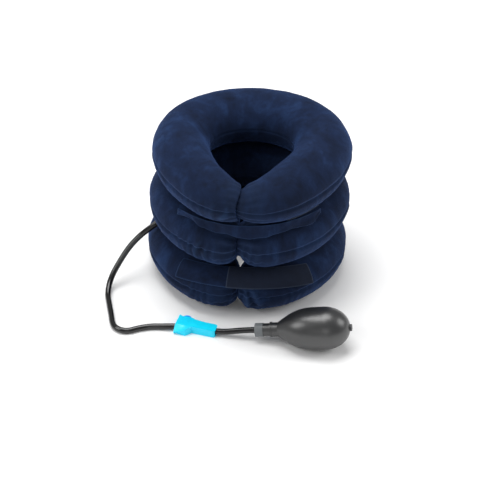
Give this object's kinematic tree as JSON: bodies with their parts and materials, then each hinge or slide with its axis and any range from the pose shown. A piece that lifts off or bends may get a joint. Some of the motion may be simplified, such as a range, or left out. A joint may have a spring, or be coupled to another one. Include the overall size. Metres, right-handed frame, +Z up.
{
  "type": "cervical traction device",
  "caption": "Inflatable neck traction collar of stacked C-shaped air cushions with closing straps, a hose with a roller clamp, and a squeeze bulb.",
  "frame": {"origin": "middle of the neck opening, at the floor that the lower cushion rests on", "axes": "+Z up through the neck opening, -Y to the front where the cushions' arms meet, +X to the right as seen from the front"},
  "size_m": [0.297, 0.2849, 0.1957],
  "materials": {
    "flock": "short flock, navy",
    "strap": "woven fastening tape, dark navy",
    "weld": "welded PVC",
    "hose": "glossy black",
    "clamp": "cyan, semi-gloss",
    "wheel": "blue, semi-gloss",
    "axle": "plain",
    "bulb": "dark grey, satin",
    "collar": "grey, matt",
    "valve": "black",
    "valve_disc": "soft"
  },
  "bodies": {
    "lower_tier": {"lower_top_panel": "flock", "lower_base_panel": "flock", "lower_strap_hook_patch": "strap", "hose": "hose", "clamp_body": "clamp", "bulb": "bulb", "neck_collar": "collar", "neck_ring": "bulb", "outlet_connector": "valve", "inlet_valve_body": "valve"},
    "middle_tier": {"middle_top_panel": "flock", "middle_base_panel": "flock", "lower_air_passages": "weld", "inlet_elbow": "valve"},
    "upper_tier": {"upper_top_panel": "flock", "upper_base_panel": "flock", "upper_air_passages": "weld", "upper_strap_hook_patch": "strap"},
    "lower_strap": {"lower_strap_tab": "flock", "lower_strap_tape": "strap"},
    "upper_strap": {"upper_strap": "flock"},
    "clamp_axle": {"clamp_axle": "axle"},
    "clamp_roller": {"clamp_roller": "wheel"},
    "outlet_disc": {"outlet_check_disc": "valve_disc"},
    "inlet_disc": {"inlet_check_disc": "valve_disc"}
  },
  "joints": [
    {"name": "middle_lift", "type": "slide", "parent": "lower_tier", "child": "middle_tier", "axis": [0, 0, 1], "range_m": [-0.042, 0], "stiffness_N_per_m": 4000, "springref_m": 0.002, "deforming": ["lower_top_panel", "lower_base_panel", "lower_strap_hook_patch", "lower_strap_tab", "lower_strap_tape", "middle_top_panel", "middle_base_panel", "hose"]},
    {"name": "upper_lift", "type": "slide", "parent": "middle_tier", "child": "upper_tier", "axis": [0, 0, 1], "range_m": [-0.042, 0], "stiffness_N_per_m": 4000, "springref_m": 0.002, "deforming": ["upper_top_panel", "upper_base_panel", "upper_strap", "upper_strap_hook_patch"]},
    {"name": "lower_strap_swing", "type": "hinge", "parent": "lower_tier", "child": "lower_strap", "pos_m": [-0.07277, -0.08963, 0.05096], "axis": [0.3759, 0.4817, 0.7917], "range_deg": [-80, 0]},
    {"name": "upper_strap_swing", "type": "hinge", "parent": "upper_tier", "child": "upper_strap", "pos_m": [-0.07194, -0.09423, 0.13], "axis": [0, 0, 1], "range_deg": [-100, 0]},
    {"name": "roller_travel", "type": "slide", "parent": "lower_tier", "child": "clamp_axle", "axis": [0.9392, -0.3434, 0], "range_m": [0, 0.02177]},
    {"name": "roller_spin", "type": "hinge", "parent": "clamp_axle", "child": "clamp_roller", "pos_m": [-0.05909, -0.13172, 0.005], "axis": [0, 0, 1], "range_deg": [-201.5, 0]},
    {"name": "outlet_disc_lift", "type": "slide", "parent": "lower_tier", "child": "outlet_disc", "axis": [-0.9867, 0.0379, -0.1582], "range_m": [0, 0.001]},
    {"name": "inlet_disc_lift", "type": "slide", "parent": "lower_tier", "child": "inlet_disc", "axis": [-0.9867, 0.0379, -0.1582], "range_m": [0, 0.001]}
  ],
  "couplings": [
    {"joint": "upper_lift", "follows": "middle_lift", "ratio": 1},
    {"joint": "roller_spin", "follows": "roller_travel", "rad_per_m": -161.29}
  ]
}
